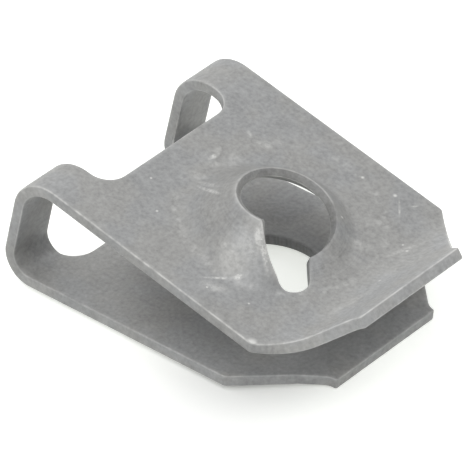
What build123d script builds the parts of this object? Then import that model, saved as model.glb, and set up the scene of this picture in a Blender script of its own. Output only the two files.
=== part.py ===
from build123d import *
from math import asin, atan2, cos, degrees, radians, sin, sqrt, tan
import os

# U clip nut: one strip of spring steel, folded over the edge of a panel.
# The bottom leaf lies flat and has a plain clearance hole for the screw.
# The top leaf slopes down to the open end. It has a raised cone, and the
# cone's rim climbs like one turn of the screw's thread, from a slot round
# to the slot again.
# X runs from the fold to the open end, Y across the strip and Z up. The
# origin is under the middle of the clip, on the surface that it rests on.

# Strip
sheet = 0.6
strip_width = 14.0

# Fold, seen from the side. Bend radii are on the outside of the fold.
bottom_bend_radius = 1.5
wall_lean = 75.0
wall_length = 3.0
top_bend_radius = 2.3
top_leaf_slope = 13.8

# Leaves, from the fold to the start of each lip
top_leaf_length = 12.75
bottom_leaf_length = 15.1

# Lips at the open end: the top one turns up, the bottom one dips a little.
# Their bend radii are in the middle of the sheet.
top_lip_radius = 3.05
top_lip_turn = 45.7
top_lip_length = 2.05
bottom_lip_radius = 1.2
bottom_lip_turn = 8.3
bottom_lip_length = 1.5

# Each end of the strip is cropped to a narrower tongue with straight sides.
# The top crop starts where the lip's bend does.
tongue_width = 7.25
top_tongue_side = 0.5
bottom_tongue_side = 0.35
bottom_crop_run = 3.75
shoulder_radius = 0.7
crop_sections = 4

# Window across the fold, which leaves a strap on each side
window_width = 9.1
window_corner_radius = 1.2
window_in_top_leaf = 1.26
window_in_bottom_leaf = 0.95

# Clearance hole in the bottom leaf, from the start of the leaf
clearance_hole_diameter = 6.9
clearance_hole_place = 8.5

# Threaded cone in the top leaf, from the start of the leaf. Angles are seen
# from above and turn from the leaf's length toward its left edge.
rim_diameter = 5.1
rim_place = 8.5
rim_pitch = 2.5
rim_low_height = 0.34
rim_sheet = 0.45
cone_foot_radius = 4.35
cone_foot_offset = 0.75
cone_foot_bearing = -130.0
flank_share = 0.85
flank_straight = 0.75
cone_sections = 12

# Slot that parts the two ends of the rim. Its high side leans with the cone.
slot_bearing = -41.0
slot_reach = 3.47
slot_tip_radius = 0.87
slot_high_corner = -80.0
slot_low_corner = -19.6
slot_lean = 44.0
slot_lean_foot = 0.42
slot_side_bow = 0.12

# How far cutting tools run past the sheet, and a joint that has no width
clear = 2.0
lap = 0.05


def along(angle, distance):
    """A step in a plane, at an angle to its first axis."""
    return Vector(distance * cos(radians(angle)), distance * sin(radians(angle)))


class SideView:
    """The middle of the sheet in the side view, as lines and tangent arcs."""

    def __init__(self):
        half = sheet / 2
        start = (0, half)
        self.bottom_leaf = Line(start, (bottom_leaf_length, half))
        self.bottom_lip_bend = JernArc(
            self.bottom_leaf @ 1, (1, 0), bottom_lip_radius, -bottom_lip_turn
        )
        self.bottom_lip = PolarLine(self.bottom_lip_bend @ 1, bottom_lip_length, -bottom_lip_turn)

        self.bottom_bend = JernArc(start, (-1, 0), bottom_bend_radius - half, wall_lean - 180)
        self.wall = PolarLine(self.bottom_bend @ 1, wall_length, wall_lean)
        self.top_bend = JernArc(
            self.wall @ 1,
            along(wall_lean, 1),
            top_bend_radius - half,
            -wall_lean - top_leaf_slope,
        )
        self.top_leaf = PolarLine(self.top_bend @ 1, top_leaf_length, -top_leaf_slope)
        self.top_lip_bend = JernArc(
            self.top_leaf @ 1, along(-top_leaf_slope, 1), top_lip_radius, top_lip_turn
        )
        self.top_lip = PolarLine(
            self.top_lip_bend @ 1, top_lip_length, top_lip_turn - top_leaf_slope
        )

    def edges(self):
        return [
            self.bottom_lip,
            self.bottom_lip_bend,
            self.bottom_leaf,
            self.bottom_bend,
            self.wall,
            self.top_bend,
            self.top_leaf,
            self.top_lip_bend,
            self.top_lip,
        ]


def top_leaf_plane(view):
    """A plane on the top leaf's upper face, from the fold to the open end."""
    start = view.top_bend @ 1 + along(90 - top_leaf_slope, sheet / 2)
    way = along(-top_leaf_slope, 1)
    normal = along(90 - top_leaf_slope, 1)
    return Plane(
        origin=(start.X, 0, start.Y), x_dir=(way.X, 0, way.Y), z_dir=(normal.X, 0, normal.Y)
    )


def folded_strip(view):
    """The strip at full width, folded and not yet cropped or pierced."""
    section = trace(Curve() + view.edges(), line_width=sheet)
    return extrude(Plane.XZ * section, amount=strip_width / 2, both=True)


def scrap_beside_tongue(start, shoulder, end):
    """The two scraps beside a tongue, flat, from the sloping cuts to past its end."""
    outside = strip_width / 2 + clear
    outline = Polyline(
        start, shoulder, (end, shoulder[1]), (end, outside), (start[0], outside), start
    )
    scrap = make_face(outline)
    corner = scrap.vertices().sort_by_distance(shoulder)[0]
    scrap = fillet(corner, shoulder_radius)
    return scrap + mirror(scrap, Plane.XZ)


def bottom_crop_tool(view):
    """The scraps that fall off the end of the bottom leaf."""
    end = (view.bottom_lip @ 1).X
    shoulder = (end - bottom_tongue_side, tongue_width / 2)
    start = (shoulder[0] - bottom_crop_run, strip_width / 2)
    scraps = scrap_beside_tongue(start, shoulder, end + clear)
    return extrude(scraps, amount=clear, both=True)


def top_crop_tool(view):
    """The scraps that fall off the top lip, cut square to the sheet along its bend."""
    bend = view.top_lip_bend
    shoulder_reach = top_lip_length - top_tongue_side
    cut_in = (strip_width - tongue_width) / 2 * bend.length / (bend.length + shoulder_reach)
    outside = strip_width / 2 + clear

    sections = []
    for n in range(crop_sections + 1):
        share = n / crop_sections
        inside = strip_width / 2 - share * cut_in
        place = bend @ share
        way = bend % share
        plane = Plane(origin=(place.X, 0, place.Y), x_dir=(0, 1, 0), z_dir=(way.X, 0, way.Y))
        block = Rectangle(outside - inside, 2 * sheet)
        sections.append(plane * Pos((inside + outside) / 2, 0) * block)
    on_bend = loft(sections)

    start = (0, strip_width / 2 - cut_in)
    shoulder = (shoulder_reach, tongue_width / 2)
    flat = scrap_beside_tongue(start, shoulder, top_lip_length + clear)
    lip_plane = Plane(origin=plane.origin, x_dir=plane.z_dir, z_dir=plane.y_dir)
    on_lip = lip_plane * extrude(flat, amount=sheet, both=True)
    return on_bend + mirror(on_bend, Plane.XZ) + on_lip


def window_tool(view, leaf):
    """The block that opens the fold between the two straps."""
    top_length = window_in_top_leaf + clear
    bottom_length = window_in_bottom_leaf + clear
    top_end = Pos(window_in_top_leaf - top_length / 2, 0) * RectangleRounded(
        top_length, window_width, window_corner_radius
    )
    bottom_end = Pos(window_in_bottom_leaf - bottom_length / 2, 0) * RectangleRounded(
        bottom_length, window_width, window_corner_radius
    )
    reach = sheet + lap
    top_cut = leaf * extrude(top_end, amount=reach, both=True)
    bottom_cut = extrude(bottom_end, amount=reach, both=True)

    top_start = leaf.origin + leaf.x_dir * (window_in_top_leaf - window_corner_radius)
    bottom_start = window_in_bottom_leaf - window_corner_radius
    under = top_start - leaf.z_dir * 2 * sheet
    over = top_start + leaf.z_dir * clear
    behind = -bottom_bend_radius - clear
    side = Polyline(
        (bottom_start, -clear),
        (bottom_start, 2 * sheet),
        (under.X, under.Z),
        (over.X, over.Z),
        (behind, over.Z),
        (behind, -clear),
        (bottom_start, -clear),
    )
    fold_cut = extrude(Plane.XZ * make_face(side), amount=window_width / 2, both=True)
    return top_cut + bottom_cut + fold_cut


def foot_radius(angle):
    """From the screw's axis to the cone's foot, which is an offset circle."""
    away = radians(angle - cone_foot_bearing)
    across = cone_foot_offset * sin(away)
    return cone_foot_offset * cos(away) + sqrt(cone_foot_radius**2 - across**2)


def rim_height(angle):
    """How high the rim stands over the leaf, where it climbs from its low corner."""
    return rim_low_height + rim_pitch * (angle - slot_low_corner + 360) / 360


def cone_section(angle):
    """The formed sheet on one side of the screw's axis, on a plane through it."""
    rim = Vector(rim_diameter / 2, rim_height(angle))
    foot = foot_radius(angle)
    knee = Vector(rim.X + flank_share * (foot - rim.X), 0)
    slope = atan2(rim.Y, knee.X - rim.X)
    low_rim = rim - Vector(sin(slope), cos(slope)) * rim_sheet
    low_knee = knee - Vector(sheet * tan(slope / 2), sheet)
    outer = foot + clear

    top = Bezier(rim, rim + (knee - rim) * flank_straight, knee, (foot, 0))
    low = Bezier(
        (foot, -sheet), low_knee, low_rim + (low_knee - low_rim) * flank_straight, low_rim
    )
    flange = Polyline((foot, 0), (outer, 0), (outer, -sheet), (foot, -sheet))
    face = make_face(Curve() + [top, flange, low, Line(low_rim, rim)])
    way = along(angle, 1)
    plane = Plane(origin=(0, 0, 0), x_dir=(way.X, way.Y, 0), z_dir=(way.Y, -way.X, 0))
    return plane * face


def threaded_cone():
    """The raised ring round the screw, about the origin, with its slot cut."""
    halves = []
    for half_turn in range(2):
        steps = [half_turn + n / cone_sections for n in range(cone_sections + 1)]
        halves.append(loft([cone_section(slot_bearing - 180 * step) for step in steps]))
    return halves[0] + halves[1]


def tool_top():
    """How far over the leaf the cutting tools reach, past the rim's high corner."""
    return rim_height(slot_high_corner) + clear


def through_leaf(outline):
    """A tool that goes through the top leaf and the cone, and stops above the bottom leaf."""
    depth = 2 * sheet
    return extrude(Pos(0, 0, -depth) * outline, amount=depth + tool_top())


def foot_blank():
    """The round blank that holds the cone, about the screw's axis."""
    shift = along(cone_foot_bearing, cone_foot_offset)
    return through_leaf(Pos(shift.X, shift.Y) * Circle(cone_foot_radius + lap))


def slot_lean_tool(tip):
    """The slot's high side, which leans with the cone as its sheet was lifted."""
    top = rim_height(slot_high_corner)
    high = along(slot_high_corner, rim_diameter / 2)
    side = tip - high
    tangent = degrees(atan2(side.Y, side.X) - asin(slot_tip_radius / side.length))
    foot = tip + along(tangent - 90, slot_tip_radius)
    middle = along(slot_bearing, rim_diameter / 2)

    lean = along(slot_high_corner, tan(radians(slot_lean)))
    over_foot = foot + lean * (top - slot_lean_foot)
    bow = (over_foot - high).normalized().rotate(Axis.Z, -90) * slot_side_bow
    side_edge = ThreePointArc(high, (high + over_foot) / 2 + bow, over_foot)
    outline = make_face(side_edge + Polyline(over_foot, middle, (0, 0), high))
    start = Pos(lean.X * clear, lean.Y * clear, tool_top()) * outline
    drop = tool_top() + 2 * sheet
    return extrude(start, amount=drop / cos(radians(slot_lean)), dir=(-lean.X, -lean.Y, -1))


def slot_tool():
    """The tapered slot, from the screw's axis to its round tip."""
    low = along(slot_low_corner, rim_diameter / 2)
    tip = along(slot_bearing, slot_reach)
    mouth = Line((0, 0), low)
    end = Pos(tip.X, tip.Y) * CenterArc((0, 0), slot_tip_radius, 0, 360)
    return through_leaf(make_hull([mouth, *end.edges()])) + slot_lean_tool(tip)


def clip():
    view = SideView()
    leaf = top_leaf_plane(view)
    body = folded_strip(view)
    body -= bottom_crop_tool(view)
    body -= top_crop_tool(view)
    body -= window_tool(view, leaf)
    body -= Pos(clearance_hole_place, 0) * Cylinder(clearance_hole_diameter / 2, clear)

    screw_axis = leaf * Pos(rim_place, 0, 0)
    body -= screw_axis * foot_blank()
    body += screw_axis * (threaded_cone() & foot_blank())
    body -= screw_axis * slot_tool()
    return body


def main():
    os.makedirs("parts", exist_ok=True)
    body = clip()
    box = body.bounding_box()
    body = Pos(-box.center().X, 0, -box.min.Z) * body
    export_step(body, "parts/clip.step")


main()
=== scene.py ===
from math import cos, pi, radians, sin

import bpy
import numpy as np
from mathutils import Matrix, Vector
from mathutils.geometry import delaunay_2d_cdt


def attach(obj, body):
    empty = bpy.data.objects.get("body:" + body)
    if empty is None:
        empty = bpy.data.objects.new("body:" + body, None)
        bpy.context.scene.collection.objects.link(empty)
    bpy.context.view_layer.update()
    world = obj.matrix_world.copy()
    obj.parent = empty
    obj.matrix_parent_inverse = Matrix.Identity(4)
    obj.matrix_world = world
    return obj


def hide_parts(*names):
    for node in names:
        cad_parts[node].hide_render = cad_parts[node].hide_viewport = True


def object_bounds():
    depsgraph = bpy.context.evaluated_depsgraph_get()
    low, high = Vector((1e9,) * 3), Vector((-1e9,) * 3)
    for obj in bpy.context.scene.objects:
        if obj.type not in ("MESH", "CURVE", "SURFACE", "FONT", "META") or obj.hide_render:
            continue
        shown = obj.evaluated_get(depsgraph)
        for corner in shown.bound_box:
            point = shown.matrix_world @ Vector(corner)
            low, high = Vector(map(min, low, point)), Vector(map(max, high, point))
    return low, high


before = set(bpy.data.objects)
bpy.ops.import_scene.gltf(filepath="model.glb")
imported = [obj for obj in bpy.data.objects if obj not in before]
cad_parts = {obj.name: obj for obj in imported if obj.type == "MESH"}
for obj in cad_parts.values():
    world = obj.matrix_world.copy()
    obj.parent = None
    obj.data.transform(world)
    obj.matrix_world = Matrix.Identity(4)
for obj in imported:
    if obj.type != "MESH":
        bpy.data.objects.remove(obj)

bl_info = {
    "name": "U Clip Nut",
    "version": (1, 0, 0),
    "blender": (4, 5, 0),
    "location": "3D View > Sidebar > Clip Nut",
    "description": "Builds a folded spring steel clip nut and sets it on a pale stage",
    "category": "Object",
}

# The imported solid that this file dresses, and its body
CLIP_NODE = "clip"
CLIP_BODY = "root"

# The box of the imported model, in metres, as it was loaded
CAD_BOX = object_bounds()


# ---------------------------------------------------------------- sizes


# Six kinds of property, from a name, a description and a default: a length in metres, an
# angle in degrees, a share of 1, a strength, a colour and a point in metres


def length(name, description, metres):
    return bpy.props.FloatProperty(
        name=name, description=description, default=metres, unit="LENGTH", precision=5
    )


def angle(name, description, degrees):
    return bpy.props.FloatProperty(
        name=name, description=description, default=radians(degrees), subtype="ANGLE"
    )


def share(name, description, part):
    return bpy.props.FloatProperty(
        name=name, description=description, default=part, min=0.0, max=1.0, subtype="FACTOR"
    )


def strength(name, description, level):
    return bpy.props.FloatProperty(name=name, description=description, default=level, min=0.0)


def colour(name, description, tone):
    return bpy.props.FloatVectorProperty(
        name=name, description=description, default=tone, min=0.0, max=1.0, size=3, subtype="COLOR"
    )


def point(name, description, metres):
    return bpy.props.FloatVectorProperty(
        name=name,
        description=description,
        default=metres,
        size=3,
        subtype="TRANSLATION",
        unit="LENGTH",
    )


class FoldedStrip(bpy.types.PropertyGroup):
    """Sizes of the folded strip, its crops, its window and its clearance hole."""

    sheet: length("Sheet thickness", "Thickness of the spring steel", 0.0006)
    strip_width: length("Strip width", "Width of the strip before its ends are cropped", 0.014)
    bottom_bend_radius: length(
        "Bottom bend", "Outside radius of the bend at the bottom leaf", 0.0015
    )
    wall_lean: angle("Wall lean", "Lean of the fold's wall from the bottom leaf", 75)
    wall_length: length("Wall length", "Straight part of the fold's wall", 0.003)
    top_bend_radius: length("Top bend", "Outside radius of the bend at the top leaf", 0.0023)
    top_leaf_slope: angle(
        "Top leaf slope", "How far the top leaf slopes down to the open end", 13.8
    )
    top_leaf_length: length("Top leaf", "Length of the top leaf, up to its lip's bend", 0.01275)
    bottom_leaf_length: length(
        "Bottom leaf", "Length of the bottom leaf, up to its lip's bend", 0.0151
    )
    top_lip_radius: length(
        "Top lip bend", "Bend radius of the top lip, in the middle of the sheet", 0.00305
    )
    top_lip_turn: angle("Top lip turn", "How far the top lip turns up", 45.7)
    top_lip_length: length("Top lip", "Straight part of the top lip", 0.00205)
    bottom_lip_radius: length(
        "Bottom lip bend", "Bend radius of the bottom lip, in the middle of the sheet", 0.0012
    )
    bottom_lip_turn: angle("Bottom lip turn", "How far the bottom lip dips", 8.3)
    bottom_lip_length: length("Bottom lip", "Straight part of the bottom lip", 0.0015)
    tongue_width: length("Tongue width", "Width of the strip's cropped ends", 0.00725)
    top_tongue_side: length("Top tongue side", "Straight side of the top tongue", 0.0005)
    bottom_tongue_side: length("Bottom tongue side", "Straight side of the bottom tongue", 0.00035)
    bottom_crop_run: length("Bottom crop", "Length of the bottom leaf's sloping crops", 0.00375)
    shoulder_radius: length("Shoulder", "Radius between a crop and its tongue", 0.0007)
    window_width: length("Window width", "Width of the opening across the fold", 0.0091)
    window_corner_radius: length("Window corners", "Radius of the window's corners", 0.0012)
    window_in_top_leaf: length(
        "Window in top leaf", "How far the window reaches into the top leaf", 0.00126
    )
    window_in_bottom_leaf: length(
        "Window in bottom leaf", "How far the window reaches into the bottom leaf", 0.00095
    )
    clearance_hole_diameter: length(
        "Clearance hole", "Diameter of the hole in the bottom leaf", 0.0069
    )
    clearance_hole_place: length(
        "Clearance hole place", "From the fold to the hole's middle", 0.0085
    )
    edge_round: length("Edge rounding", "How far the sheared edges are worn round", 0.00008)


class ThreadedCone(bpy.types.PropertyGroup):
    """Sizes of the raised cone, its climbing rim and its slot."""

    rim_diameter: length("Rim diameter", "Diameter of the threaded rim", 0.0051)
    rim_place: length("Rim place", "From the fold to the screw's axis, along the top leaf", 0.0085)
    rim_pitch: length("Rim pitch", "How far the rim climbs in a whole turn", 0.0025)
    rim_low_height: length(
        "Rim low height", "Height of the rim's low corner over the leaf", 0.00034
    )
    rim_sheet: length("Rim sheet", "Thickness of the drawn sheet at the rim", 0.00045)
    foot_radius: length("Foot radius", "Radius of the cone's foot", 0.00435)
    foot_offset: length(
        "Foot offset", "How far the foot's middle is from the screw's axis", 0.00075
    )
    foot_bearing: angle(
        "Foot bearing", "Direction of the foot's middle from the screw's axis", -130
    )
    flank_share: share(
        "Flank share", "Where the flank's slope would meet the leaf, between rim and foot", 0.85
    )
    flank_straight: share("Flank straightness", "How much of the flank is straight", 0.75)
    slot_bearing: angle("Slot bearing", "Direction of the slot from the screw's axis", -41)
    slot_reach: length(
        "Slot reach", "From the screw's axis to the middle of the slot's round tip", 0.00347
    )
    slot_tip_radius: length("Slot tip", "Radius of the slot's round tip", 0.00087)
    slot_high_corner: angle("High corner", "Bearing of the rim's high end", -80)
    slot_low_corner: angle("Low corner", "Bearing of the rim's low end", -19.6)
    slot_lean: angle("Slot lean", "How far the slot's high side leans out", 44)
    slot_lean_foot: length(
        "Slot lean foot", "Height at which the leaning side meets the slot's tip", 0.00042
    )
    slot_side_bow: length("Slot side bow", "How far the slot's high side bows", 0.00012)


class ClipFinish(bpy.types.PropertyGroup):
    """Colours and shine of the clip's surface."""

    steel_colour: colour("Coating colour", "Colour of the grey coating", (0.343, 0.342, 0.334))
    cool_colour: colour(
        "Cool coating colour", "The coating's colour where it is bluer", (0.337, 0.341, 0.342)
    )
    # Also the colour of the painted glints on three corners
    worn_and_glint_colour: colour(
        "Worn colour", "Colour where the coating is rubbed pale", (0.72, 0.72, 0.7)
    )
    roughness: share("Roughness", "Roughness of the coating", 0.5)
    # The sheared faces are darker partly by their own finish and partly by painted shade, most in
    # the clearance hole
    sheared_and_shade_tone: share(
        "Sheared tone", "How light the sheared faces are against the leaves", 0.7
    )
    metal: share("Metal share", "How much the coating shines as metal", 0.2)


class StageLook(bpy.types.PropertyGroup):
    """Camera, floor and soft light."""

    azimuth: angle(
        "Camera azimuth", "Turn of the camera round the clip, from the near long side", 42.541
    )
    elevation: angle("Camera elevation", "Height of the camera above the horizon", 35.765)
    roll: angle("Camera roll", "Turn of the camera about its own line of sight", -2.058)
    distance: length("Camera distance", "From the camera to the point that it looks at", 0.29922)
    target: point(
        "Camera target", "The point that the camera looks at", (-0.001675, 0.000405, 0.002326)
    )
    focal_length: bpy.props.FloatProperty(
        name="Focal length",
        description="Focal length of the lens, in millimetres",
        default=473.1,
    )
    floor_colour: colour(
        "Floor colour", "Colour of the floor and of the light that it gives back", (0.8, 0.8, 0.8)
    )
    floor_glow: strength(
        "Floor glow", "Light that the floor sends to the camera alone, so that it looks white", 0.58
    )
    glow_tint: colour(
        "Glow tint", "Faint green tint of the floor, seen in the clip's shade", (0.97, 1.0, 0.94)
    )
    shade_depth: strength(
        "Shade depth", "How much less the floor glows below the clip's near corner", 0.32
    )
    shade_middle: point(
        "Shade middle", "Middle of the floor's darker patch", (0.0045, -0.007, 0.0)
    )
    shade_radius: length(
        "Shade radius", "Radius at which the floor's darker patch has faded out", 0.009
    )
    sky_level: strength("Sky level", "Strength of the even light from all sides", 0.3)
    sky_top: strength("Light from above", "Strength of the soft light from straight above", 0.95)
    sky_fold: strength(
        "Light from the fold's side", "Strength of the soft light from beyond the fold", 0.27
    )
    sky_near: strength(
        "Light from the near side",
        "Strength of the soft light from beyond the near long edge",
        0.15,
    )


# ---------------------------------------------------------------- materials


# Rubbed marks on the top leaf and its lip, from the screw's axis: along and across the
# strip, length and width in millimetres, turn in degrees and how bare the mark is rubbed
MARKS = (
    (-5.35, 1.0, 0.8, 0.28, 88, 0.65),
    (-5.05, 0.55, 0.9, 0.5, 60, 0.25),
    (-3.55, -1.55, 1.9, 0.2, -19, 0.7),
    (-3.9, -1.1, 1.5, 0.3, -15, 0.4),
    (-4.9, -0.6, 0.9, 0.6, 15, 0.25),
    (-4.6, 1.5, 1.4, 0.9, 100, 0.2),
    (-4.3, 3.5, 0.9, 0.4, 23, 0.4),
    (-5.25, 3.5, 0.5, 0.25, -31, 0.4),
    (0.45, -4.85, 1.9, 0.16, 46, 0.6),
    (1.0, -4.3, 0.45, 0.24, 46, 0.9),
    (0.3, -4.0, 1.6, 1.1, 10, 0.3),
    (0.6, -3.45, 1.5, 0.8, -10, 0.4),
    (-0.5, -3.85, 0.35, 0.25, 0, 0.5),
    (0.6, -5.6, 1.4, 0.7, 32, 0.35),
    (0.72, -2.97, 0.75, 0.34, -34, 1.0),
    (0.6, -2.7, 0.6, 0.3, -30, 0.5),
    (1.27, -3.1, 1.5, 0.26, -22, 1.0),
    (0.95, -2.82, 0.8, 0.2, -15, 0.8),
    (5.0, 3.4, 2.2, 0.35, 70, 0.3),
    (3.2, 2.0, 1.6, 0.6, 20, 0.25),
    (6.0, -1.5, 3.2, 0.5, 80, 0.25),
    (2.9, 5.35, 1.4, 0.12, -49, 0.5),
    (3.25, 6.1, 0.35, 0.12, 60, 0.8),
    (2.8, 3.9, 1.3, 0.5, 60, 0.2),
)

# Bright specks from the screw's axis, all but the last on the top leaf and its lip: along and
# across the strip, and size in millimetres. The first twelve are rubbed specks, and the last three
# are painted glints on corners of the top leaf, the top lip and the bottom leaf
SPECKS_AND_GLINTS = (
    (2.15, 5.9, 0.2),
    (0.3, 5.6, 0.18),
    (5.17, 3.38, 0.2),
    (4.66, 3.62, 0.12),
    (1.1, 1.98, 0.13),
    (1.75, 2.28, 0.15),
    (-6.3, -2.51, 0.13),
    (-4.6, -3.94, 0.14),
    (0.38, -5.85, 0.14),
    (6.9, -4.49, 0.1),
    (5.9, 0.6, 0.16),
    (2.4, -5.1, 0.12),
    # Painted glints on three corners
    (4.2, -6.9, 0.55),
    (8.8, -3.55, 0.5),
    (-29.4, -6.9, 0.42),
)

# A mark or speck is drawn this much larger than its row says, because it fades outward
SOFT_GROWTH = 1.4

# The faint ring rubbed round the cone: its middle, along and across from the screw's axis,
# its radius and how far it reaches to each side, in metres
RING_MIDDLE = (-0.00045, 0.00045)
RING_RADIUS = 0.00515
RING_REACH = 0.00035

# Soft ovals where a tone or the edges' wear is changed: along and across from the screw's axis,
# length and width in millimetres, how full the oval is where the change is whole, and the factor
# there. The first is painted shade on the bottom leaf beyond the clearance hole, under the top leaf
SHADE_BEYOND_HOLE = (-22.4, 5.2, 6.5, 5.0, 1.0, 0.84)
PALE_BESIDE_SLOT = (0.7, -3.7, 4.4, 3.4, 1.0, 1.36)
DULL_RIM = (2.4, 0.9, 5.2, 6.6, 0.6, 0.15)
BARE_SLOT_END = (1.3, -3.2, 3.4, 2.4, 0.6, 2.4)

# Changes of tone over a distance: where each starts and ends, in metres, and the factor before it
# and after it. All four are painted: shade on the bottom leaf round the clearance hole, under the
# top leaf, and light on the bottom leaf, the top bend and the top lip
SHADE_ROUND_HOLE = (0.0042, 0.0072, 0.76, 1.0)
LIGHT_ON_BOTTOM_LEAF = (0.0, 0.001, 1.12, 0.97)
LIGHT_ON_TOP_BEND = (0.0, 0.003, 1.15, 1.0)
LIGHT_ON_TOP_LIP = (0.0, 0.0024, 1.0, 1.34)

# How strong the fine arcs round the cone are, over the distance from the screw's axis
CONE_ARCS = (0.0035, 0.005, 0.3, 0.0)

# How far the middle of the top bend's painted light lies before the top leaf's start
TOP_BEND_MIDDLE = 0.0016

# Noises of the finish: scale, detail and roughness
TINT_NOISE = (420.0, 2.0, 0.5)
EDGE_NOISE = (1300.0, 3.0, 0.6)
RING_NOISE = (2300.0, 3.0, 0.6)
SCUFF_NOISE = (4200.0, 3.0, 0.7)
GRAIN_NOISE = (8000.0, 3.0, 0.6)
ARC_NOISE = (9000.0, 2.0, 0.5)
SHEAR_NOISE = (9000.0, 2.0, 0.6)

# The coating's mottling: its noises, each with how far it moves the tone
MOTTLES = (
    ((300.0, 2.0, 0.6), 0.18),
    ((1300.0, 3.0, 0.6), 0.32),
    ((4800.0, 3.0, 0.6), 0.75),
)


class Wiring:
    """A short way to add shader nodes to one material or world and join them."""

    def __init__(self, owner):
        owner.use_nodes = True
        self.tree = owner.node_tree
        self.tree.nodes.clear()

    def add(self, kind, inputs=None, **settings):
        """One node with its settings, and with values or links on its named sockets."""
        node = self.tree.nodes.new(kind)
        for name, value in settings.items():
            setattr(node, name, value)
        for name, value in (inputs or {}).items():
            self.put(node.inputs[name], value)
        return node

    def put(self, socket, value):
        """A link if the value is another node's socket, and else a plain value."""
        if isinstance(value, bpy.types.NodeSocket):
            self.tree.links.new(value, socket)
        else:
            socket.default_value = value

    def math(self, operation, *values, clamp=False):
        node = self.add("ShaderNodeMath", operation=operation, use_clamp=clamp)
        for socket, value in zip(node.inputs, values):
            self.put(socket, value)
        return node.outputs[0]

    def vector(self, operation, *values, out=0):
        node = self.add("ShaderNodeVectorMath", operation=operation)
        for socket, value in zip(node.inputs, values):
            self.put(socket, value)
        return node.outputs[out]

    def noise(self, where, scale, detail, roughness):
        sockets = {"Vector": where, "Scale": scale, "Detail": detail, "Roughness": roughness}
        return self.add("ShaderNodeTexNoise", sockets).outputs["Fac"]

    def spread(self, value, low, high, out_low=0.0, out_high=1.0):
        """The value taken from one range to another, smoothly and kept inside it."""
        node = self.add(
            "ShaderNodeMapRange",
            {
                "Value": value,
                "From Min": low,
                "From Max": high,
                "To Min": out_low,
                "To Max": out_high,
            },
            interpolation_type="SMOOTHSTEP",
        )
        return node.outputs[0]

    def mix(self, share, first, second):
        node = self.add("ShaderNodeMix", data_type="RGBA")
        self.put(node.inputs[0], share)
        self.put(node.inputs[6], first)
        self.put(node.inputs[7], second)
        return node.outputs[2]

    def attribute(self, name):
        return self.add("ShaderNodeAttribute", attribute_name=name).outputs["Fac"]

    def oval(self, flat, axis, along, across, long, wide, turn=0.0):
        """A soft oval on the flat sheet: 1 in its middle and 0 outside it.

        Its middle is given along and across from the screw's axis, and like its length
        and width it is in millimetres. Its turn is in degrees.
        """
        local = self.add(
            "ShaderNodeMapping",
            {
                "Vector": flat,
                "Location": (axis + along / 1000, across / 1000, 0.0),
                "Rotation": (0.0, 0.0, radians(turn)),
                "Scale": (long / 2000, wide / 2000, 1.0),
            },
            vector_type="TEXTURE",
        ).outputs[0]
        away = self.vector("LENGTH", local, out="Value")
        return self.spread(away, 0.2, 1.0, 1.0, 0.0)

    def changed(self, flat, axis, row):
        """A factor that is 1 outside a soft oval and the row's own where the oval is full."""
        *place, full, factor = row
        return self.spread(self.oval(flat, axis, *place), 0.0, full, 1.0, factor)

    def product(self, values):
        """All of some values multiplied together."""
        whole = values[0]
        for value in values[1:]:
            whole = self.math("MULTIPLY", whole, value)
        return whole

    def largest(self, values):
        """The largest of some values."""
        top = values[0]
        for value in values[1:]:
            top = self.math("MAXIMUM", top, value)
        return top


def rubbed_marks_and_glints(wires, flat, place, axis):
    """Where the leaf is rubbed: scuffs with broken edges, a faint ring and small specks, among them
    painted glints on three corners.
    """
    broken = wires.spread(wires.noise(place, *SCUFF_NOISE), 0.36, 0.64)
    ovals = []
    for along, across, long, wide, turn, bare in MARKS:
        size = (long * SOFT_GROWTH, wide * SOFT_GROWTH)
        mark = wires.oval(flat, axis, along, across, *size, turn)
        ovals.append(wires.math("MULTIPLY", mark, bare))
    scuffs = wires.math("MULTIPLY", wires.largest(ovals), wires.math("ADD", broken, 0.25))

    ring_middle = (axis + RING_MIDDLE[0], RING_MIDDLE[1], 0.0)
    from_ring = wires.vector("LENGTH", wires.vector("SUBTRACT", flat, ring_middle), out="Value")
    off_ring = wires.math("ABSOLUTE", wires.math("SUBTRACT", from_ring, RING_RADIUS))
    ring = wires.spread(off_ring, 0.0, RING_REACH, 1.0, 0.0)
    faint = wires.spread(wires.noise(place, *RING_NOISE), 0.48, 0.66)
    ring = wires.product([ring, faint, 0.25])

    ovals = []
    for along, across, size in SPECKS_AND_GLINTS:
        size *= SOFT_GROWTH
        ovals.append(wires.oval(flat, axis, along, across, size, size))
    return wires.largest([scuffs, ring, wires.math("MULTIPLY", wires.largest(ovals), 0.8)])


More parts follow.
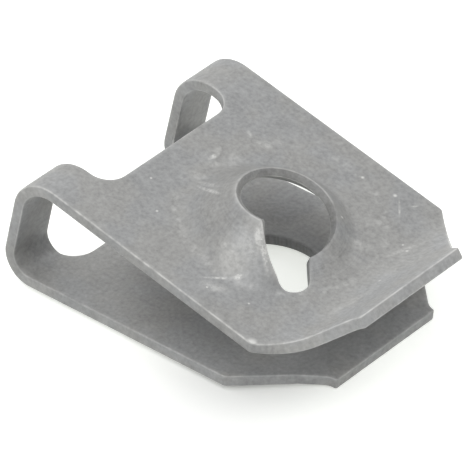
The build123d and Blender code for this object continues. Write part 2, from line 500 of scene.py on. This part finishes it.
def leaf_tone_shade_and_light(wires, flat, place, sheet):
    """How light the coating is from place to place, as a factor near 1.

    It is mottled at three sizes, with fine arcs pressed round the cone. It is darker round the
    clearance hole and beyond it, painted shade on the bottom leaf under the top leaf, and paler
    beside the slot's low end. Painted light makes it paler on the bottom leaf, on the top bend and
    on the top lip.
    """
    length = wires.add("ShaderNodeSeparateXYZ", {"Vector": flat}).outputs[0]

    def beyond(start):
        """How far along the strip a place lies beyond a start."""
        return wires.math("SUBTRACT", length, start)

    def distance(middle):
        """The distance on the flat sheet from a point of the strip's middle line."""
        step = wires.vector("SUBTRACT", flat, (middle, 0.0, 0.0))
        return wires.vector("LENGTH", step, out="Value")

    tone = 1.0
    for noise, amount in MOTTLES:
        swing = wires.math("SUBTRACT", wires.noise(place, *noise), 0.5)
        tone = wires.math("ADD", wires.math("MULTIPLY", swing, amount), tone)

    from_axis = distance(sheet.axis)
    rings = wires.add("ShaderNodeCombineXYZ", {"X": from_axis}).outputs[0]
    arcs = wires.math("SUBTRACT", wires.noise(rings, *ARC_NOISE), 0.5)
    arcs = wires.math("MULTIPLY", arcs, wires.spread(from_axis, *CONE_ARCS))
    tone = wires.math("ADD", arcs, tone)

    off_bend = wires.math("ABSOLUTE", beyond(sheet.top_start - TOP_BEND_MIDDLE))
    return wires.product(
        [
            tone,
            # Painted shade on the bottom leaf round the clearance hole, under the top leaf
            wires.spread(distance(sheet.hole_place), *SHADE_ROUND_HOLE),
            # Painted shade on the bottom leaf beyond the clearance hole
            wires.changed(flat, sheet.axis, SHADE_BEYOND_HOLE),
            wires.changed(flat, sheet.axis, PALE_BESIDE_SLOT),
            # Painted light: the bottom leaf is drawn lighter than the rest
            wires.spread(beyond(sheet.bottom_start), *LIGHT_ON_BOTTOM_LEAF),
            # Painted light on the top bend
            wires.spread(off_bend, *LIGHT_ON_TOP_BEND),
            # Painted light on the top lip
            wires.spread(beyond(sheet.lip_start), *LIGHT_ON_TOP_LIP),
        ]
    )


def rubbed_edges(wires, flat, place, axis):
    """Where the edges are rubbed pale: in patches, little on the rim and most by the slot."""
    patchy = wires.spread(wires.noise(place, *EDGE_NOISE), 0.3, 0.65, 0.35, 1.0)
    return wires.product(
        [
            wires.attribute("edge_wear"),
            patchy,
            wires.changed(flat, axis, DULL_RIM),
            wires.changed(flat, axis, BARE_SLOT_END),
        ]
    )


def steel_material(finish, sheet):
    """Grey phosphate on spring steel, mottled, with painted shade and light on parts of the leaves,
    rubbed edges, painted glints on three corners, and sheared faces made darker partly by their own
    finish and partly by painted shade.
    """
    material = bpy.data.materials.new("phosphated_spring_steel")
    wires = Wiring(material)
    place = wires.add("ShaderNodeTexCoord").outputs["Object"]
    flat = wires.add("ShaderNodeUVMap", uv_map="flat_place").outputs[0]

    # The coating's colour with its painted shade and light, darker and finely lined on the sheared
    # faces, partly their own finish and partly painted shade
    sheared = wires.attribute("sheared")
    shear_lines = wires.noise(flat, *SHEAR_NOISE)
    darker = finish.sheared_and_shade_tone - 1.0
    lines = wires.spread(shear_lines, 0.3, 0.7, darker - 0.05, darker + 0.05)
    sheared_and_shade_tone = wires.math("ADD", wires.math("MULTIPLY", lines, sheared), 1.0)
    tone = wires.math("MULTIPLY", leaf_tone_shade_and_light(wires, flat, place, sheet), sheared_and_shade_tone)
    tint = wires.spread(wires.noise(place, *TINT_NOISE), 0.4, 0.6)
    coating = wires.mix(tint, (*finish.steel_colour, 1.0), (*finish.cool_colour, 1.0))
    coating = wires.vector("SCALE", coating)
    wires.put(coating.node.inputs["Scale"], tone)

    # What is rubbed pale: the edges everywhere, and the marks on the faces alone, where painted
    # glints on three corners are drawn as well
    on_face = wires.spread(sheared, 0.0, 0.4, 1.0, 0.0)
    marks_and_glints = wires.math("MULTIPLY", rubbed_marks_and_glints(wires, flat, place, sheet.axis), on_face)
    edges = rubbed_edges(wires, flat, place, sheet.axis)
    worn = wires.math("MAXIMUM", edges, marks_and_glints, clamp=True)
    colour = wires.mix(worn, coating, (*finish.worn_and_glint_colour, 1.0))
    metal = wires.spread(worn, 0.0, 1.0, finish.metal, 0.85)
    rough = wires.spread(worn, 0.0, 1.0, finish.roughness, 0.34)

    grain = wires.noise(place, *GRAIN_NOISE)
    height = wires.math("ADD", grain, wires.math("MULTIPLY", shear_lines, sheared))
    bump = wires.add("ShaderNodeBump", {"Strength": 0.2, "Distance": 0.00002, "Height": height})
    surface = wires.add(
        "ShaderNodeBsdfPrincipled",
        {"Base Color": colour, "Metallic": metal, "Roughness": rough, "Normal": bump.outputs[0]},
    )
    wires.add("ShaderNodeOutputMaterial", {"Surface": surface.outputs[0]})
    return material


def floor_material(look):
    """Pale floor that looks white to the camera and still takes the shadow.

    The light that it sends to the camera fades in a soft patch below the near corner, a painted
    shadow there.
    """
    material = bpy.data.materials.new("pale_floor")
    wires = Wiring(material)
    path = wires.add("ShaderNodeLightPath")
    seen = wires.math("MAXIMUM", path.outputs["Is Camera Ray"], path.outputs["Is Glossy Ray"])
    seen = wires.math("MAXIMUM", seen, path.outputs["Is Transmission Ray"])
    place = wires.add("ShaderNodeTexCoord").outputs["Object"]
    step = wires.vector("SUBTRACT", place, (*look.shade_middle,))
    away = wires.vector("LENGTH", step, out="Value")
    glow = wires.math(
        "SUBTRACT",
        look.floor_glow,
        wires.spread(away, 0.0, look.shade_radius, look.shade_depth, 0.0),
    )
    plain = wires.add("ShaderNodeBsdfDiffuse", {"Color": (*look.floor_colour, 1.0)})
    lit = wires.add(
        "ShaderNodeEmission",
        {"Color": (*look.glow_tint, 1.0), "Strength": wires.math("MULTIPLY", seen, glow)},
    )
    both = wires.add("ShaderNodeAddShader")
    wires.put(both.inputs[0], plain.outputs[0])
    wires.put(both.inputs[1], lit.outputs[0])
    wires.add("ShaderNodeOutputMaterial", {"Surface": both.outputs[0]})
    return material


# ---------------------------------------------------------------- folded sheet


class Sheet:
    """The folded strip as a surface of two parameters.

    A point is given by its length along the strip's middle line, from the bottom lip's
    end to the top lip's, its place across the strip, and its height over the middle
    line toward the outside of the fold.
    """

    def __init__(self, strip, cone):
        self.strip = strip
        self.cone = cone
        self.half = strip.sheet / 2
        # Each run's straight length, bend radius of the middle line, and turn
        runs = (
            (strip.bottom_lip_length, 0.0, 0.0),
            (0.0, strip.bottom_lip_radius, strip.bottom_lip_turn),
            (strip.bottom_leaf_length, 0.0, 0.0),
            (0.0, strip.bottom_bend_radius - self.half, strip.wall_lean - pi),
            (strip.wall_length, 0.0, 0.0),
            (0.0, strip.top_bend_radius - self.half, -strip.wall_lean - strip.top_leaf_slope),
            (strip.top_leaf_length, 0.0, 0.0),
            (0.0, strip.top_lip_radius, strip.top_lip_turn),
            (strip.top_lip_length, 0.0, 0.0),
        )
        straights, radii, turns = np.array(runs).T
        self.lengths = straights + radii * np.abs(turns)
        self.bends = turns / self.lengths
        self.starts = np.concatenate([[0.0], np.cumsum(self.lengths)[:-1]])
        self.headings = pi - strip.bottom_lip_turn + np.concatenate([[0.0], np.cumsum(turns)[:-1]])
        self.bottom_start = self.starts[3]
        self.top_start = self.starts[6]
        self.lip_start = self.starts[7]
        self.end = self.starts[8] + self.lengths[8]
        self.origin = np.zeros(2)
        self.origin = np.array([0.0, self.half]) - self.middle(self.bottom_start)[0]
        self.axis = self.top_start + cone.rim_place
        self.hole_place = self.bottom_start - strip.clearance_hole_place

    def middle(self, length):
        """Place and heading on the middle line.

        The line is a chain of straight runs and arcs. Each run adds the chord of the arc
        that it has turned through so far, and a straight run is an arc that doesn't turn.
        """
        run = np.clip(np.asarray(length)[..., None] - self.starts, 0.0, self.lengths)
        half_turn = run * self.bends / 2
        chord = run * np.sinc(half_turn / pi)
        way = self.headings + half_turn
        x = (chord * np.cos(way)).sum(-1)
        z = (chord * np.sin(way)).sum(-1)
        heading = self.headings[0] + (run * self.bends).sum(-1)
        return np.stack([x, z], -1) + self.origin, heading

    def fold(self, flat, height):
        """Points of the folded strip, from flat places and heights over the middle line."""
        place, heading = self.middle(flat[..., 0])
        x = place[..., 0] - height * np.sin(heading)
        z = place[..., 1] + height * np.cos(heading)
        return np.stack([x, flat[..., 1], z], -1)

    # The cone

    def rim_height(self, angle):
        """The rim climbs evenly with the angle, by rim_pitch in a whole turn."""
        climb = (angle - self.cone.slot_low_corner + 2 * pi) / (2 * pi)
        return self.cone.rim_low_height + self.cone.rim_pitch * climb

    def cone_controls(self, angle):
        """Control points, as radius and height, of the flank's upper and lower curves."""
        cone = self.cone
        away = angle - cone.foot_bearing
        across = cone.foot_offset * np.sin(away)
        foot = cone.foot_offset * np.cos(away) + np.sqrt(cone.foot_radius**2 - across**2)
        rim = np.stack([np.full_like(angle, cone.rim_diameter / 2), self.rim_height(angle)], -1)
        flat = np.zeros_like(angle)
        knee = np.stack([rim[..., 0] + cone.flank_share * (foot - rim[..., 0]), flat], -1)
        slope = np.arctan2(rim[..., 1], knee[..., 0] - rim[..., 0])
        low_rim = rim - cone.rim_sheet * np.stack([np.sin(slope), np.cos(slope)], -1)
        thick = self.strip.sheet
        low_knee = knee - np.stack([thick * np.tan(slope / 2), flat + thick], -1)
        foot_top = np.stack([foot, flat], -1)
        foot_low = np.stack([foot, flat - thick], -1)
        straight = cone.flank_straight
        upper = (rim, rim + (knee - rim) * straight, knee, foot_top)
        lower = (low_rim, low_rim + (low_knee - low_rim) * straight, low_knee, foot_low)
        return upper, lower

    def cone_height(self, flat, side):
        """Height over the leaf's upper face, on its upper (0) or lower (1) side.

        On each side of the screw's axis the flank is a cubic curve from the rim to the
        foot. Its height at a given radius is found by halving the curve's parameter.
        """
        away = flat - np.array([self.axis, 0.0])
        radius = np.hypot(away[..., 0], away[..., 1])
        angle = self.turned(away)
        controls = self.cone_controls(angle)[side]
        low, high = np.zeros_like(radius), np.ones_like(radius)
        for _ in range(26):
            share = (low + high) / 2
            short = cubic(share, controls)[..., 0] < radius
            low, high = np.where(short, share, low), np.where(short, high, share)
        height = cubic(share, controls)[..., 1]
        return np.where(radius < controls[3][..., 0], height, controls[3][..., 1])

    def turned(self, away):
        """The angle of a flat step, kept in the turn that ends in the slot."""
        angle = np.arctan2(away[..., 1], away[..., 0])
        bearing = self.cone.slot_bearing
        return bearing - np.mod(bearing - angle, 2 * pi)

    def surface_height(self, flat, side):
        """Height over the middle line of the sheet's outer (0) or inner (1) side."""
        return self.half + self.cone_height(flat, side)


def cubic(share, controls):
    """A cubic curve from its four control points."""
    t = share[..., None]
    a, b, c, d = controls
    return (1 - t) ** 3 * a + 3 * t * (1 - t) ** 2 * b + 3 * t**2 * (1 - t) * c + t**3 * d


# ---------------------------------------------------------------- outlines


def polar(angle, radius):
    """The point at an angle and a radius from the middle."""
    return np.stack([radius * np.cos(angle), radius * np.sin(angle)], -1)


def rounded_loop(corners, radii, steps=24):
    """A closed loop through corners, each replaced by an arc that is tangent to both sides."""
    corners = np.array(corners)
    pieces = []
    for before, corner, after, radius in zip(
        np.roll(corners, 1, 0), corners, np.roll(corners, -1, 0), radii
    ):
        back = (before - corner) / np.linalg.norm(before - corner)
        on = (after - corner) / np.linalg.norm(after - corner)
        half = np.arccos(np.clip(back @ on, -1, 1)) / 2
        if radius == 0.0:
            pieces.append(corner[None])
            continue
        middle = (back + on) / np.linalg.norm(back + on)
        centre = corner + middle * radius / np.sin(half)
        swing = np.linspace(-1, 1, steps)[:, None] * (pi / 2 - half)
        over = np.sign(back[0] * on[1] - back[1] * on[0]) * np.array([-middle[1], middle[0]])
        pieces.append(centre - radius * (np.cos(swing) * middle - np.sin(swing) * over))
    return np.concatenate(pieces)


def even_loops(loops, spacing, corner):
    """Loops resampled evenly along the first one, with their corners averaged round.

    Each point becomes the mean of its neighbours over a short stretch of the loop, so
    straight runs stay and corners turn over about that length.
    """
    closed = [np.vstack([loop, loop[:1]]) for loop in loops]
    steps = np.linalg.norm(np.diff(closed[0], axis=0), axis=1)
    run = np.concatenate([[0.0], np.cumsum(steps)])
    count = int(np.ceil(run[-1] / spacing))
    at = np.arange(count) * run[-1] / count
    reach = max(1, int(round(corner / spacing / 2)))
    out = []
    for loop in closed:
        even = np.stack([np.interp(at, run, loop[:, 0]), np.interp(at, run, loop[:, 1])], -1)
        shifted = [np.roll(even, k, 0) for k in range(-reach, reach + 1)]
        out.append(np.mean(shifted, axis=0))
    return out


def inset(loop, distance):
    """The loop moved into the sheet, which lies on its left."""
    way = np.roll(loop, -1, 0) - np.roll(loop, 1, 0)
    way /= np.linalg.norm(way, axis=1)[:, None]
    return loop + distance * np.stack([-way[:, 1], way[:, 0]], -1)


def strip_outline(sheet):
    """The strip's edge: two long sides, and at each end a crop, a shoulder and a tongue."""
    strip = sheet.strip
    side, tongue = strip.strip_width / 2, strip.tongue_width / 2
    low_shoulder = strip.bottom_tongue_side
    low_crop = low_shoulder + strip.bottom_crop_run
    high_shoulder = sheet.end - strip.top_tongue_side
    high_crop = sheet.lip_start
    near = [
        (0.0, -tongue),
        (low_shoulder, -tongue),
        (low_crop, -side),
        (high_crop, -side),
        (high_shoulder, -tongue),
        (sheet.end, -tongue),
    ]
    far = [(along, -across) for along, across in reversed(near)]
    shoulder = strip.shoulder_radius
    radii = [0.0, shoulder, 0.0, 0.0, shoulder, 0.0]
    return rounded_loop(near + far, radii + radii[::-1])


def window_outline(sheet):
    """The opening across the fold, clockwise, so that the sheet lies on its left."""
    strip = sheet.strip
    low = sheet.bottom_start - strip.window_in_bottom_leaf
    high = sheet.top_start + strip.window_in_top_leaf
    side = strip.window_width / 2
    corners = [(low, -side), (low, side), (high, side), (high, -side)]
    return rounded_loop(corners, [strip.window_corner_radius] * 4)


def hole_outline(sheet):
    """The round clearance hole, clockwise."""
    middle = np.array([sheet.hole_place, 0.0])
    angle = np.linspace(0.0, -2 * pi, 180, endpoint=False)
    return middle + polar(angle, sheet.strip.clearance_hole_diameter / 2)


def thread_outlines(sheet):
    """The rim and the slot, clockwise, on the sheet's outer side and on its inner side.

    The rim is a circle on the outer side, and on the inner side it follows the foot of
    the rim's face. The slot's high side is where a leaning wall meets the flank: each of
    its points is shifted along the lean by its own height below the rim.
    """
    cone = sheet.cone
    axis = np.array([sheet.axis, 0.0])
    high_corner, low_corner = cone.slot_high_corner, cone.slot_low_corner
    tip = polar(np.array(cone.slot_bearing), cone.slot_reach)
    high = polar(np.array(high_corner), cone.rim_diameter / 2)
    low = polar(np.array(low_corner), cone.rim_diameter / 2)

    def touch(corner, side):
        """The direction, from the tip's middle, where a line from a corner touches its arc."""
        step = tip - corner
        lean = np.arcsin(cone.slot_tip_radius / np.hypot(*step))
        return np.arctan2(step[1], step[0]) + side * (lean + pi / 2)

    high_touch, low_touch = touch(high, -1), touch(low, 1)
    foot = tip + polar(np.array(high_touch), cone.slot_tip_radius)
    top = sheet.rim_height(np.array(high_corner))
    lean = polar(np.array(high_corner), np.tan(cone.slot_lean))
    over_foot = foot + lean * (top - cone.slot_lean_foot)
    side_way = (over_foot - high) / np.linalg.norm(over_foot - high)
    bow = cone.slot_side_bow * np.array([side_way[1], -side_way[0]])

    share = np.linspace(0.0, 1.0, 60)[:, None]
    wall = high + share * (over_foot - high) + 4 * share * (1 - share) * bow
    sides = []
    for side in (0, 1):
        edge = wall - lean * (top - cone.slot_lean_foot) * share
        for _ in range(30):
            height = sheet.cone_height(axis + edge, side)[:, None]
            edge = edge + 0.3 * (wall + lean * (height - top) - edge)
        edge = edge + share * (foot - edge[-1])
        rim_radius = sheet.cone_controls(np.array([high_corner]))[side][0][0, 0]
        start = polar(np.array(high_corner), rim_radius)
        sides.append(edge + (1 - share) * (start - edge[0]))
    rim_angle = np.linspace(high_corner, low_corner - 2 * pi, 360)
    swing = np.linspace(high_touch, low_touch + (2 * pi if low_touch < high_touch else 0.0), 60)
    tip_arc = tip + polar(swing, cone.slot_tip_radius)
    loops = []
    for side in (0, 1):
        rim = polar(rim_angle, sheet.cone_controls(rim_angle)[side][0][:, 0])
        loop = np.concatenate([rim[::-1], sides[side][1:], tip_arc[1:]])
        loops.append(axis + loop[::-1])
    return loops


# ---------------------------------------------------------------- mesh


# Steps of the mesh, in metres: along every loop's edge, across the flat runs, and at the
# least across the bends, where a step otherwise turns the strip by BEND_TURN
EDGE_STEP = 0.00006
FLAT_STEP = 0.0005
BEND_STEP = 0.00012
BEND_TURN = 0.08

# Room kept free of fill points, beside the edges and round the cone's foot, in metres
ROOM_AT_EDGE = 0.00035
ROOM_AT_FOOT = 0.0003

# Length over which the corners turn, of the punched loops and of the rim with its slot
CORNER_TURN = 0.0003
RIM_CORNER_TURN = 0.00018

# How many of the cone's points lie round the axis, and from the rim to just past the foot
CONE_ROUND, CONE_OUT = 110, 15

# How rubbed an edge is where its rounding meets the face, against 1 in the rounding's middle
FACE_WEAR = 0.15


def inside(points, loop):
    """Whether each point is inside a closed loop, by counting the sides that it is left of."""
    x, y = points[:, :1], points[:, 1:]
    x0, y0 = loop.T
    x1, y1 = np.roll(loop, -1, 0).T
    rise = np.where(y1 == y0, 1e-12, y1 - y0)
    crossed = ((y0 > y) != (y1 > y)) & (x < x0 + (y - y0) * (x1 - x0) / rise)
    return crossed.sum(1) % 2 == 1


def on_sheet(points, outline, holes):
    """Whether each flat point is on the sheet: inside its outline and in none of its holes."""
    kept = inside(points, outline)
    for hole in holes:
        kept &= ~inside(points, hole)
    return kept


def away_from(points, rims, gap):
    """Whether each point is at least a gap away from every point of the rims."""
    nearest = np.full(len(points), np.inf)
    for part in np.array_split(rims, max(1, len(rims) // 400)):
        step = points[:, None] - part
        nearest = np.minimum(nearest, (step**2).sum(-1).min(1))
    return nearest > gap**2


def fill_points(sheet):
    """Flat points for the inside of the sheet, closer together where it is bent.

    Each run of the strip gets rows of points across it, every other row half a step
    aside. Round the screw's axis the points lie on rings from the rim to the cone's foot.
    """
    across = sheet.strip.strip_width / 2
    rows = []
    for start, length, bend in zip(sheet.starts, sheet.lengths, sheet.bends):
        step = FLAT_STEP if bend == 0.0 else max(BEND_STEP, BEND_TURN / abs(bend))
        along = np.arange(start + step / 2, start + length, step)
        places = np.arange(-across, across, step)
        lengths, widths = np.meshgrid(along, places, indexing="ij")
        widths[::2] += step / 2
        rows.append(np.stack([lengths.ravel(), widths.ravel()], -1))
    points = np.concatenate(rows)
    axis = np.array([sheet.axis, 0.0])
    away = points - axis
    foot = sheet.cone_controls(sheet.turned(away))[0][3][:, 0]
    points = points[np.hypot(away[:, 0], away[:, 1]) > foot + ROOM_AT_FOOT]

    angle, share = np.meshgrid(
        np.linspace(-pi, pi, CONE_ROUND, endpoint=False), np.linspace(0, 1.03, CONE_OUT)
    )
    turned = sheet.turned(polar(angle, 1.0))
    low = sheet.cone_controls(turned)[1][0][..., 0]
    foot = sheet.cone_controls(turned)[0][3][..., 0]
    rings = axis + polar(angle, low + share * (foot - low))
    return np.concatenate([points, rings.reshape(-1, 2)])


def flat_faces(rims, fill, outline, holes):
    """Triangles between the rims and over the fill points, none of them in a hole."""
    points = np.concatenate([*rims, fill])
    sides = []
    start = 0
    for rim in rims:
        here = np.arange(start, start + len(rim))
        sides.append(np.stack([here, np.roll(here, -1)], -1))
        start += len(rim)
    in_millimetres = (points * 1000.0).tolist()
    _, _, faces, origins, *_ = delaunay_2d_cdt(
        in_millimetres, np.concatenate(sides).tolist(), [], 0, 1e-7
    )
    origins = np.array([origin[0] for origin in origins])
    faces = origins[np.array(faces)]
    kept = on_sheet(points[faces].mean(1), outline, holes)
    return points, faces[kept]


def edge_profile(outer, inner, outer_inset, inner_inset, rounds, steps=3):
    """The sheet's edge, carried along a loop from its outer side to its inner side.

    Each corner is a quadratic curve from the inset on its face to the same distance
    down the wall, with the sharp corner as its control point. Each row comes with its
    wear, which is most in the middle of a corner, and its share of sheared face.
    """
    wall = inner - outer
    wall /= np.linalg.norm(wall, axis=1)[:, None]
    rows = []
    edges = ((outer, outer_inset, wall, rounds[0]), (inner, inner_inset, -wall, rounds[1]))
    for corner, face, down, edge_round in edges:
        turn = []
        for share in np.linspace(0.0, 1.0, steps + 1):
            a, b, c = (1 - share) ** 2, 2 * share * (1 - share), share**2
            row = a * face + b * corner + c * (corner + down * edge_round)
            turn.append((row, FACE_WEAR + 2 * (1 - FACE_WEAR) * b, share))
        rows += turn if not rows else turn[::-1]
    return rows


# How rubbed the outer and the inner edges are, how dark the sheared faces are, and the inner edge's
# rounding against the outer's: the strip's edge, the window, the clearance hole, and the rim with
# its slot. The darkness of the sheared faces is partly their own rougher finish and partly painted
# shade, most on the clearance hole's wall under the top leaf and much on the rim's face
EDGE_LOOKS = (
    (0.8, 0.35, 0.45, 1.0),
    (0.6, 0.6, 0.5, 1.0),
    (0.2, 0.2, 1.5, 1.0),
    (0.55, 1.0, 1.0, 0.55),
)


def folded_mesh(name, sheet, edge_round):
    """The whole sheet: its outer and inner faces, and a rounded edge round every loop."""
    loops = [
        even_loops([loop, loop], EDGE_STEP, CORNER_TURN)
        for loop in (strip_outline(sheet), window_outline(sheet), hole_outline(sheet))
    ]
    loops.append(even_loops(thread_outlines(sheet), EDGE_STEP, RIM_CORNER_TURN))
    fill = fill_points(sheet)

    verts, faces, worn, sheared, flats = [], [], [], [], []
    count = 0
    bases = []
    for side in (0, 1):
        edges = [loop[side] for loop in loops]
        rims = [
            inset(edge, edge_round * look[3] ** side) for edge, look in zip(edges, EDGE_LOOKS)
        ]
        ring = np.concatenate([inset(edge, 3 * edge_round) for edge in edges])
        kept = on_sheet(fill, edges[0], edges[1:])
        inner_fill = fill[kept]
        inner_fill = inner_fill[away_from(inner_fill, np.concatenate(edges), ROOM_AT_EDGE)]
        flat, triangles = flat_faces(
            rims, np.concatenate([ring[::2], inner_fill]), rims[0], rims[1:]
        )
        verts.append(sheet.fold(flat, sheet.surface_height(flat, side)))
        on_rim = np.arange(len(flat)) < sum(map(len, rims))
        worn.append(FACE_WEAR * on_rim)
        sheared.append(np.zeros(len(flat)))
        flats.append(flat)
        faces.append(count + (triangles if side == 0 else triangles[:, ::-1]))
        bases.append(count)
        count += len(flat)

    quads = []
    start = 0
    for (outer, inner), (outer_wear, inner_wear, shear_and_shade, finer) in zip(loops, EDGE_LOOKS):
        size = len(outer)
        ends = [
            sheet.fold(edge, sheet.surface_height(edge, side))
            for side, edge in enumerate((outer, inner))
        ]
        insets = [verts[side][start : start + size] for side in (0, 1)]
        rows = edge_profile(*ends, *insets, (edge_round, edge_round * finer))
        here = np.arange(size)
        rings = [bases[0] + start + here]
        for number, (row, rubbed, cut) in enumerate(rows[1:-1]):
            verts.append(row)
            upper = number < len(rows) / 2 - 1
            flats.append(outer if upper else inner)
            worn.append(np.full(size, rubbed * (outer_wear if upper else inner_wear)))
            # Each loop scales how dark its sheared face is: the cut face's own finish and painted
            # shade
            sheared.append(np.full(size, cut * shear_and_shade))
            rings.append(count + here)
            count += size
        rings.append(bases[1] + start + here)
        for high, low in zip(rings, rings[1:]):
            quads.append(np.stack([high, low, np.roll(low, -1), np.roll(high, -1)], -1))
        start += size

    mesh = bpy.data.meshes.new(name)
    lists = [part.tolist() for part in faces + quads]
    mesh.from_pydata(np.concatenate(verts).tolist(), [], sum(lists, []))
    for key, values in (("edge_wear", worn), ("sheared", sheared)):
        attribute = mesh.attributes.new(key, "FLOAT", "POINT")
        attribute.data.foreach_set("value", np.concatenate(values).astype(np.float32))
    corners = np.empty(len(mesh.loops), np.int32)
    mesh.loops.foreach_get("vertex_index", corners)
    flat_place = mesh.uv_layers.new(name="flat_place")
    flat_place.data.foreach_set("uv", np.concatenate(flats)[corners].ravel())
    mesh.polygons.foreach_set("use_smooth", np.ones(len(mesh.polygons), bool))
    mesh.validate()
    mesh.update()
    return mesh


# ---------------------------------------------------------------- operators


class ClipNutAddClip(bpy.types.Operator):
    """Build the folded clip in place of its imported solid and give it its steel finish"""

    bl_idname = "clip_nut.add_clip"
    bl_label = "Add Clip"

    def execute(self, context):
        finish = context.scene.clip_finish
        strip = context.scene.folded_strip
        sheet = Sheet(strip, context.scene.threaded_cone)
        mesh = folded_mesh("folded_clip", sheet, strip.edge_round)
        low = CAD_BOX[0]
        lip = sheet.fold(np.array([0.0, 0.0]), np.array(sheet.half))
        shift = (low[0] + strip.bottom_bend_radius, 0.0, low[2] - lip[2])
        mesh.transform(Matrix.Translation(shift))
        clip = bpy.data.objects.new("folded_clip", mesh)
        context.scene.collection.objects.link(clip)
        clip.data.materials.append(steel_material(finish, sheet))
        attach(clip, CLIP_BODY)
        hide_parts(CLIP_NODE)
        return {"FINISHED"}


class ClipNutAddStage(bpy.types.Operator):
    """Add the pale floor, the soft light and the camera"""

    bl_idname = "clip_nut.add_stage"
    bl_label = "Add Stage"

    def execute(self, context):
        look = context.scene.stage_look
        self.add_floor(look)
        self.add_light(context, look)
        self.add_camera(context, look)
        context.scene.view_settings.view_transform = "Standard"
        return {"FINISHED"}

    def add_floor(self, look):
        bpy.ops.mesh.primitive_plane_add(size=4.0, location=(0.0, 0.0, 0.0))
        floor = bpy.context.object
        floor.name = "pale_floor"
        floor.data.materials.append(floor_material(look))

    def add_light(self, context, look):
        world = bpy.data.worlds.new("soft_sky")
        context.scene.world = world
        wires = Wiring(world)
        path = wires.add("ShaderNodeLightPath")
        way = wires.add("ShaderNodeTexCoord").outputs["Generated"]
        parts = wires.add("ShaderNodeSeparateXYZ", {"Vector": way}).outputs
        level = look.sky_level
        for part, sign, amount in (
            ("Z", 1.0, look.sky_top),
            ("X", -1.0, look.sky_fold),
            ("Y", -1.0, look.sky_near),
        ):
            lobe = wires.math("MAXIMUM", wires.math("MULTIPLY", parts[part], sign), 0.0)
            level = wires.math("ADD", level, wires.math("MULTIPLY", lobe, amount))
        hidden = wires.math("SUBTRACT", 1.0, path.outputs["Is Camera Ray"])
        level = wires.math("MULTIPLY", level, hidden)
        level = wires.math("ADD", level, path.outputs["Is Camera Ray"])
        sky = wires.add("ShaderNodeBackground", {"Color": (1.0, 1.0, 1.0, 1.0), "Strength": level})
        wires.add("ShaderNodeOutputWorld", {"Surface": sky.outputs[0]})

    def add_camera(self, context, look):
        a, e, r = look.azimuth, look.elevation, look.roll
        back = Vector((sin(a) * cos(e), -cos(a) * cos(e), sin(e)))
        right = Vector((cos(a), sin(a), 0.0))
        up = back.cross(right)
        side = cos(r) * right + sin(r) * up
        over = cos(r) * up - sin(r) * right
        lens = bpy.data.cameras.new("camera")
        lens.lens = look.focal_length
        lens.sensor_width = 36.0
        lens.clip_start = 0.01
        lens.clip_end = 20.0
        camera = bpy.data.objects.new("camera", lens)
        context.scene.collection.objects.link(camera)
        place = Matrix((side, over, back)).transposed().to_4x4()
        place.translation = Vector(look.target) + look.distance * back
        camera.matrix_world = place
        context.scene.camera = camera


class ClipNutPanel(bpy.types.Panel):
    """Sizes, colours and the buttons that make the pieces"""

    bl_idname = "VIEW3D_PT_clip_nut"
    bl_label = "Clip Nut"
    bl_space_type = "VIEW_3D"
    bl_region_type = "UI"
    bl_category = "Clip Nut"

    def draw(self, context):
        column = self.layout.column()
        for key in GROUPS:
            group = getattr(context.scene, key)
            for name in group.__annotations__:
                column.prop(group, name)
        for operator in OPERATORS:
            column.operator(operator.bl_idname)


GROUPS = {
    "folded_strip": FoldedStrip,
    "threaded_cone": ThreadedCone,
    "clip_finish": ClipFinish,
    "stage_look": StageLook,
}
OPERATORS = (ClipNutAddClip, ClipNutAddStage)


def register():
    for name, group in GROUPS.items():
        bpy.utils.register_class(group)
        setattr(bpy.types.Scene, name, bpy.props.PointerProperty(type=group))
    for operator in OPERATORS:
        bpy.utils.register_class(operator)
    bpy.utils.register_class(ClipNutPanel)


def unregister():
    bpy.utils.unregister_class(ClipNutPanel)
    for operator in reversed(OPERATORS):
        bpy.utils.unregister_class(operator)
    for name, group in GROUPS.items():
        delattr(bpy.types.Scene, name)
        bpy.utils.unregister_class(group)


def main():
    """Register the classes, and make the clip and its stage."""
    register()
    bpy.ops.clip_nut.add_clip()
    bpy.ops.clip_nut.add_stage()


if __name__ == "__main__":
    main()
